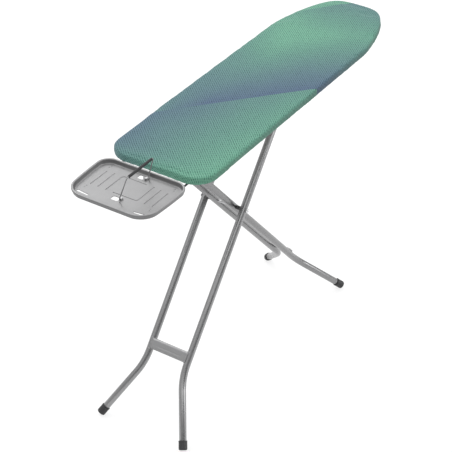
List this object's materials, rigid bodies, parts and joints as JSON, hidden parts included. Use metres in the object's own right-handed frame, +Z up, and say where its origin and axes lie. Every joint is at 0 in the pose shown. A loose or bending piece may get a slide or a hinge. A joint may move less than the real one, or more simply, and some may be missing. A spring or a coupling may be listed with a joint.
{
  "type": "ironing board",
  "caption": "Folding ironing board with a padded tapered top on two crossed tube frames, a rear iron tray on a wire rod, a folding wire hoop and an under-board height latch.",
  "frame": {"origin": "centre of the overall box in plan, on the floor under the four feet", "axes": "+X runs the board's length towards its nose, +Y across the board, +Z up"},
  "size_m": [1.3682, 0.329, 0.9599],
  "materials": {
    "grey_enamel": "smooth grey enamel",
    "expanded_metal": "painted expanded mesh sheet",
    "padding": "soft felt and foam",
    "cover_cloth": "printed cotton, matte",
    "plated_steel": "zinc plated",
    "bright_nut": "bright plated",
    "spring_wire": "drawn wire",
    "dark_wire": "dark painted wire",
    "tray_plastic": "light grey, fine texture",
    "clip_plastic": "satin dark",
    "black_plastic": "satin black",
    "sleeve_rubber": "matt"
  },
  "bodies": {
    "board": {"board_rim": "grey_enamel", "top_panel": "expanded_metal", "foam_pad": "padding", "cover": "cover_cloth", "cross_member_1": "grey_enamel", "cross_member_2": "grey_enamel", "cross_member_3": "grey_enamel", "cross_member_4": "grey_enamel", "pivot_bracket": "grey_enamel", "bracket_rivet_1": "plated_steel", "bracket_rivet_2": "plated_steel", "bracket_rivet_3": "plated_steel", "bracket_rivet_4": "plated_steel", "pivot_rod": "plated_steel", "pivot_cap_left": "black_plastic", "pivot_cap_right": "black_plastic", "rail_left": "grey_enamel", "rail_left_rivet_1": "plated_steel", "rail_left_rivet_2": "plated_steel", "rail_right": "grey_enamel", "rail_right_rivet_1": "plated_steel", "rail_right_rivet_2": "plated_steel", "latch_pin": "plated_steel", "latch_bracket": "grey_enamel", "latch_spring": "spring_wire", "tray_rod": "dark_wire", "rod_clamp_1": "clip_plastic", "rod_clamp_2": "clip_plastic", "rod_clamp_3": "clip_plastic", "rod_clamp_4": "clip_plastic", "tray": "tray_plastic", "tray_clip_1": "clip_plastic", "tray_clip_2": "clip_plastic", "tray_clip_3": "clip_plastic", "tray_clip_4": "clip_plastic", "hoop_clip_front": "clip_plastic", "hoop_clip_rear": "clip_plastic"},
    "t_frame": {"t_tube_left": "grey_enamel", "t_tube_right": "grey_enamel", "t_foot_cap_left": "black_plastic", "t_foot_cap_right": "black_plastic", "t_tie_plate": "grey_enamel", "pivot_spacer": "black_plastic", "axle": "plated_steel", "axle_nut": "bright_nut", "axle_spacer_left": "black_plastic", "axle_spacer_right": "black_plastic"},
    "a_frame": {"a_tube_left": "grey_enamel", "a_tube_right": "grey_enamel", "a_foot_cap_left": "black_plastic", "a_foot_cap_right": "black_plastic", "a_crossbar": "grey_enamel", "glide_rod": "plated_steel", "glide_left": "black_plastic", "glide_right": "black_plastic"},
    "latch": {"latch_rack": "plated_steel", "lever_bar": "plated_steel", "lever_grip": "black_plastic"},
    "hoop": {"hoop_wire": "dark_wire", "hoop_sleeve": "sleeve_rubber"}
  },
  "joints": [
    {"name": "fold", "type": "hinge", "parent": "board", "child": "t_frame", "pos_m": [-0.35425, 0, 0.84803], "axis": [0, -1, 0], "range_deg": [0, 45.5]},
    {"name": "scissor", "type": "hinge", "parent": "t_frame", "child": "a_frame", "pos_m": [-0.11075, 0, 0.57283], "axis": [0, -1, 0], "range_deg": [-93.5, 0]},
    {"name": "latch_lift", "type": "hinge", "parent": "board", "child": "latch", "pos_m": [0.07185, 0, 0.86583], "axis": [0, -1, 0], "range_deg": [0, 1.8], "stiffness_Nm_per_rad": 2, "springref_deg": -9.74},
    {"name": "hoop_fold", "type": "hinge", "parent": "board", "child": "hoop", "pos_m": [-0.56815, -0.0125, 0.88283], "axis": [1, 0, 0], "range_deg": [-105, 0]}
  ],
  "couplings": [
    {"joint": "scissor", "follows": "fold", "ratio": -2.0523}
  ]
}
